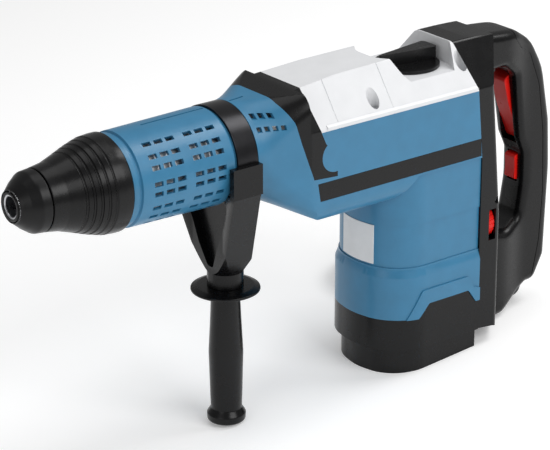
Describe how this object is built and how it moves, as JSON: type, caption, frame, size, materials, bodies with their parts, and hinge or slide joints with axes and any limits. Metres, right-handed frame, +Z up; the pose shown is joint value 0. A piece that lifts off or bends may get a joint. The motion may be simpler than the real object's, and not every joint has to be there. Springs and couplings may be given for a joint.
{
  "type": "electric jackhammer",
  "caption": "Electric rotary demolition hammer: round bit socket, slotted barrel, upright motor tower, D-shaped rear handle with trigger and swivelling auxiliary handle.",
  "frame": {"origin": "centre of the bit socket's mouth, on the drive axis", "axes": "+X rearward along the drive axis, +Z up, -Y the operator's left; the tool stands on its base cap and the auxiliary handle's tip on a plane that rises 4.4 degrees towards +X"},
  "size_m": [0.6268, 0.2434, 0.333],
  "materials": {
    "blue_shell": "satin moulded blue plastic",
    "cover_grey": "light grey painted metal look, satin",
    "black_plastic": "black moulded plastic, fine texture",
    "black_rubber": "soft black overmould",
    "red_plastic": "red moulded plastic",
    "blank_label": "blank printed foil",
    "lamp_lens": "clear grey lens",
    "steel": "ground steel",
    "dark_steel": "oiled dark steel",
    "blackened_strap": "black enamelled strap",
    "cast_alu": "die-cast",
    "laminations": "laminated iron",
    "copper": "enamelled copper wire",
    "brass_pin": "bright brass",
    "carbon": "graphite",
    "circuit_board": "green board",
    "cord_rubber": "black rubber cable"
  },
  "bodies": {
    "housing": {"barrel_cover": "blue_shell", "inner_barrel": "cast_alu", "gear_case": "blue_shell", "bumper_band": "black_plastic", "side_strips": "black_plastic", "motor_case": "blue_shell", "top_cover": "cover_grey", "rating_plate": "blank_label", "base_cap": "black_plastic", "case_screws": "steel", "rear_cover": "black_plastic", "indicator_lamp": "lamp_lens", "rear_handle": "black_plastic", "handle_grip": "black_rubber", "switch_module": "black_plastic", "trigger_pin": "steel", "control_board": "circuit_board", "bearing_frame": "cast_alu", "stator_core": "laminations", "field_coils": "copper", "brush_holders": "black_plastic", "carbon_brushes": "carbon", "air_baffle": "black_plastic", "motor_bearings": "steel", "gear_bearings": "steel", "spindle_bearings": "steel", "front_seal": "black_rubber", "cord_guard": "black_rubber", "cord_run": "cord_rubber", "cord_coil": "cord_rubber", "cord_tail": "cord_rubber", "plug_body": "black_rubber", "plug_pins": "brass_pin"},
    "spindle": {"tool_holder": "steel", "dust_cap": "black_rubber", "hammer_tube": "steel", "crown_gear": "dark_steel", "sleeve_spring": "steel"},
    "locking_sleeve": {"locking_sleeve": "black_plastic"},
    "roller_top": {"lock_roller_top": "steel"},
    "roller_bottom": {"lock_roller_bottom": "steel"},
    "impact_bolt": {"impact_bolt": "steel"},
    "striker": {"striker": "steel"},
    "piston": {"piston": "steel"},
    "connecting_rod": {"conrod": "steel", "wrist_pin": "steel"},
    "crank": {"crankshaft": "dark_steel"},
    "intermediate": {"intermediate_shaft": "dark_steel"},
    "rotor": {"rotor_shaft": "steel", "rotor_core": "laminations", "commutator": "copper", "cooling_fan": "black_plastic"},
    "aux_handle": {"clamp_band": "blackened_strap", "handle_yoke": "black_plastic"},
    "aux_grip": {"aux_grip": "black_plastic", "clamp_rod": "steel"},
    "mode_knob": {"mode_knob": "black_plastic"},
    "trigger": {"trigger": "red_plastic"},
    "lock_button": {"lock_button": "red_plastic"},
    "speed_dial": {"speed_dial": "red_plastic"}
  },
  "joints": [
    {"name": "spindle_spin", "type": "hinge", "parent": "housing", "child": "spindle", "pos_m": [0, 0, 0], "axis": [1, 0, 0], "continuous": true},
    {"name": "sleeve_slide", "type": "slide", "parent": "spindle", "child": "locking_sleeve", "axis": [1, 0, 0], "range_m": [0, 0.0085], "stiffness_N_per_m": 900, "springref_m": -0.012, "deforming": ["sleeve_spring"]},
    {"name": "roller_top_slide", "type": "slide", "parent": "spindle", "child": "roller_top", "axis": [0, 0, 1], "range_m": [0, 0.0022]},
    {"name": "roller_bottom_slide", "type": "slide", "parent": "spindle", "child": "roller_bottom", "axis": [0, 0, -1], "range_m": [0, 0.0022]},
    {"name": "impact_bolt_slide", "type": "slide", "parent": "spindle", "child": "impact_bolt", "axis": [1, 0, 0], "range_m": [-0.004, 0.004]},
    {"name": "striker_slide", "type": "slide", "parent": "spindle", "child": "striker", "axis": [1, 0, 0], "range_m": [-0.006, 0.016]},
    {"name": "piston_slide", "type": "slide", "parent": "housing", "child": "piston", "axis": [1, 0, 0], "range_m": [0, 0.02]},
    {"name": "crank_spin", "type": "hinge", "parent": "housing", "child": "crank", "pos_m": [0.3925, 0, 0], "axis": [0, 0, 1], "continuous": true},
    {"name": "rod_swing", "type": "hinge", "parent": "crank", "child": "connecting_rod", "pos_m": [0.3825, 0, 0], "axis": [0, 0, 1], "continuous": true},
    {"name": "intermediate_spin", "type": "hinge", "parent": "housing", "child": "intermediate", "pos_m": [0.3225, 0, 0], "axis": [0, 0, 1], "continuous": true},
    {"name": "rotor_spin", "type": "hinge", "parent": "housing", "child": "rotor", "pos_m": [0.445, 0, 0], "axis": [0, 0, 1], "continuous": true},
    {"name": "aux_handle_swivel", "type": "hinge", "parent": "housing", "child": "aux_handle", "pos_m": [0.22, 0, 0], "axis": [1, 0, 0], "continuous": true},
    {"name": "aux_grip_twist", "type": "hinge", "parent": "aux_handle", "child": "aux_grip", "pos_m": [0.228, 0, -0.2], "axis": [0, 0, 1], "range_deg": [-720, 0]},
    {"name": "mode_knob_turn", "type": "hinge", "parent": "housing", "child": "mode_knob", "pos_m": [0.445, 0, 0.04], "axis": [0, 0, 1], "range_deg": [-90, 0]},
    {"name": "trigger_press", "type": "hinge", "parent": "housing", "child": "trigger", "pos_m": [0.59, 0, -0.064], "axis": [0, 1, 0], "range_deg": [0, 7], "stiffness_Nm_per_rad": 2, "springref_deg": -17.19},
    {"name": "lock_button_press", "type": "slide", "parent": "housing", "child": "lock_button", "axis": [1, 0, 0], "range_m": [0, 0.003], "stiffness_N_per_m": 600, "springref_m": -0.004},
    {"name": "speed_dial_turn", "type": "hinge", "parent": "housing", "child": "speed_dial", "pos_m": [0.512, -0.036, -0.125], "axis": [1, 0, 0], "range_deg": [0, 270]}
  ],
  "couplings": [
    {"joint": "intermediate_spin", "follows": "spindle_spin", "ratio": -3.8},
    {"joint": "crank_spin", "follows": "spindle_spin", "ratio": 2.1111},
    {"joint": "rod_swing", "follows": "spindle_spin", "ratio": -2.1111},
    {"joint": "rotor_spin", "follows": "spindle_spin", "ratio": -12.667},
    {"joint": "roller_top_slide", "follows": "sleeve_slide", "ratio": 0.25882},
    {"joint": "roller_bottom_slide", "follows": "sleeve_slide", "ratio": 0.25882}
  ]
}
